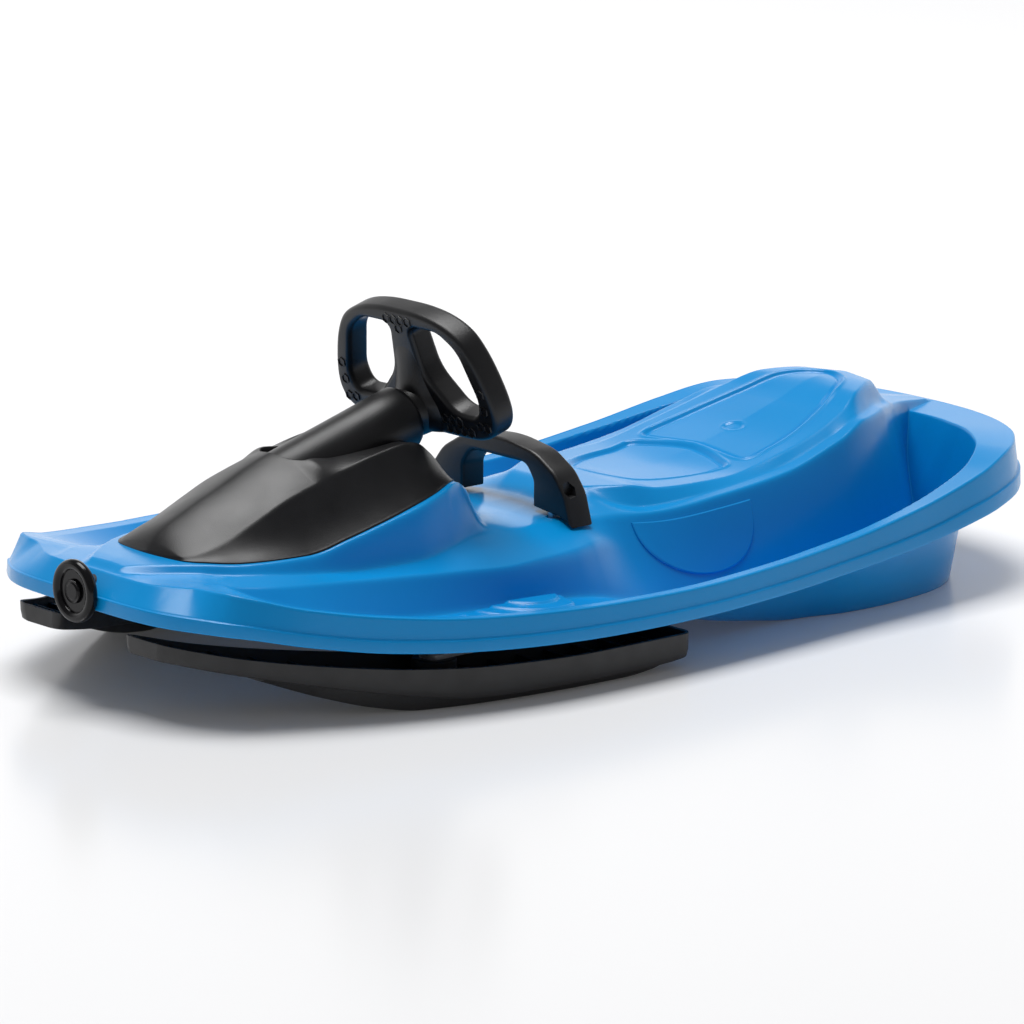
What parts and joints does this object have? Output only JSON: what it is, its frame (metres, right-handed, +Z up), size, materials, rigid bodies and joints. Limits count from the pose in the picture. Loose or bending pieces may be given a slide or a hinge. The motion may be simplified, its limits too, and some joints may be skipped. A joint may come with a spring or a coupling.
{
  "type": "steering sled",
  "caption": "Two-seat plastic bob sled with a steering wheel on an inclined column, steered front skis, a lift-up claw brake and a tow knob on a self-winding reel",
  "frame": {"origin": "centre of the bounding box footprint, on the ground", "axes": "+Z up, nose towards -Y, stern towards +Y, rider's left towards +X"},
  "size_m": [0.5898, 1.168, 0.3435],
  "materials": {
    "blue_plastic": "glossy blow-moulded polyethylene",
    "black_textured": "matte grained moulding",
    "black_plastic": "plain moulding",
    "black_satin": "satin moulding",
    "black_gloss": "polished moulding",
    "ski_plastic": "dark grey moulding",
    "zinc_steel": "zinc plated",
    "white_nylon": "natural nylon"
  },
  "bodies": {
    "hull": {"hull_shell": "blue_plastic", "hood": "black_textured", "hood_screws": "zinc_steel", "column_bush_upper": "white_nylon", "column_bush_lower": "white_nylon", "column_carrier": "black_plastic", "kingpin_plate_left": "black_plastic", "kingpin_plate_right": "black_plastic", "kingpin_left": "zinc_steel", "kingpin_right": "zinc_steel", "kingpin_nuts": "zinc_steel", "hatch_left": "blue_plastic", "hatch_right": "blue_plastic", "brake_axle": "zinc_steel", "brake_bracket_left": "black_plastic", "brake_bracket_right": "black_plastic", "bracket_screws": "zinc_steel", "rope_guide": "black_plastic", "reel_housing": "black_plastic", "reel_cover": "black_plastic", "reel_axle": "zinc_steel", "reel_spring": "zinc_steel"},
    "steering": {"steering_wheel": "black_satin", "steering_shaft": "zinc_steel", "wheel_bolt": "zinc_steel", "steering_crank": "zinc_steel", "crank_bolt": "zinc_steel"},
    "link": {"steering_link": "black_plastic"},
    "ski_left": {"ski_left": "ski_plastic", "ski_runner_left": "ski_plastic", "ski_arm_left": "zinc_steel"},
    "ski_right": {"ski_right": "ski_plastic", "ski_runner_right": "ski_plastic", "ski_arm_right": "zinc_steel"},
    "brake": {"brake_handle": "black_satin", "brake_arm_left": "zinc_steel", "brake_arm_right": "zinc_steel", "brake_bolts": "zinc_steel"},
    "knob": {"tow_knob": "black_gloss", "knob_cap": "black_gloss"},
    "reel": {"reel_drum": "white_nylon"}
  },
  "joints": [
    {"name": "steer", "type": "hinge", "parent": "hull", "child": "steering", "pos_m": [0, -0.134, 0.236], "axis": [0, 0.9588, 0.284], "range_deg": [-28, 28]},
    {"name": "link_slide", "type": "slide", "parent": "hull", "child": "link", "axis": [1, 0, 0], "range_m": [-0.023, 0.023]},
    {"name": "ski_left_turn", "type": "hinge", "parent": "hull", "child": "ski_left", "pos_m": [0.205, -0.3, 0.03], "axis": [0, 0, 1], "range_deg": [-18, 18]},
    {"name": "ski_right_turn", "type": "hinge", "parent": "hull", "child": "ski_right", "pos_m": [-0.205, -0.3, 0.03], "axis": [0, 0, 1], "range_deg": [-18, 18]},
    {"name": "brake_lift", "type": "hinge", "parent": "hull", "child": "brake", "pos_m": [0, 0.045, 0.07], "axis": [-1, 0, 0], "range_deg": [0, 18]},
    {"name": "knob_pull", "type": "slide", "parent": "hull", "child": "knob", "axis": [0, -1, 0], "range_m": [0, 0.022], "stiffness_N_per_m": 60, "springref_m": -0.01},
    {"name": "reel_spin", "type": "hinge", "parent": "hull", "child": "reel", "pos_m": [0, -0.486, 0.1], "axis": [0, 0, 1], "range_deg": [0, 60]}
  ],
  "couplings": [
    {"joint": "link_slide", "follows": "steer", "m_per_rad": -0.0438},
    {"joint": "ski_left_turn", "follows": "steer", "ratio": 0.6167},
    {"joint": "ski_right_turn", "follows": "steer", "ratio": 0.6167},
    {"joint": "reel_spin", "follows": "knob_pull", "rad_per_m": 40}
  ]
}
